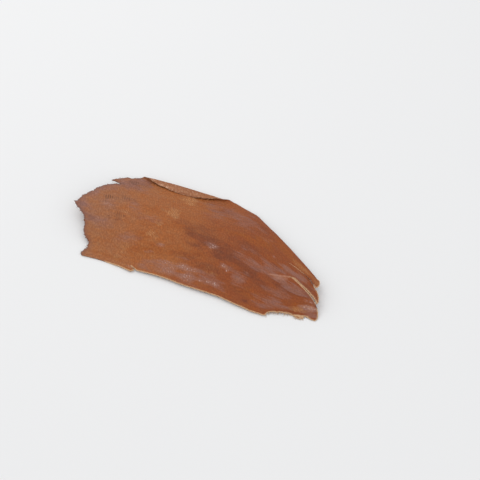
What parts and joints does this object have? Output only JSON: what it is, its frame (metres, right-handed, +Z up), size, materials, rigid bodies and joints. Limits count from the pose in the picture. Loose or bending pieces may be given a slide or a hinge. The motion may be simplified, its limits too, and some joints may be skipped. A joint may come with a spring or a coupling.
{
  "type": "piece of palm bark",
  "caption": "Thin arched sheet of dry palm bark with a pointed torn end, one long edge rolled over on itself and a tip torn into lobes.",
  "frame": {"origin": "on the surface that the sheet lies on, under the middle of its bounding box", "axes": "+X along the sheet's length towards the lobed tip, +Y across it towards the rolled edge, +Z up through its thickness"},
  "size_m": [0.347, 0.154, 0.0192],
  "materials": {
    "bark": "satin, smooth to the touch, with a fine lengthwise grain"
  },
  "bodies": {
    "root": {"bark_sheet": "bark"}
  },
  "joints": []
}
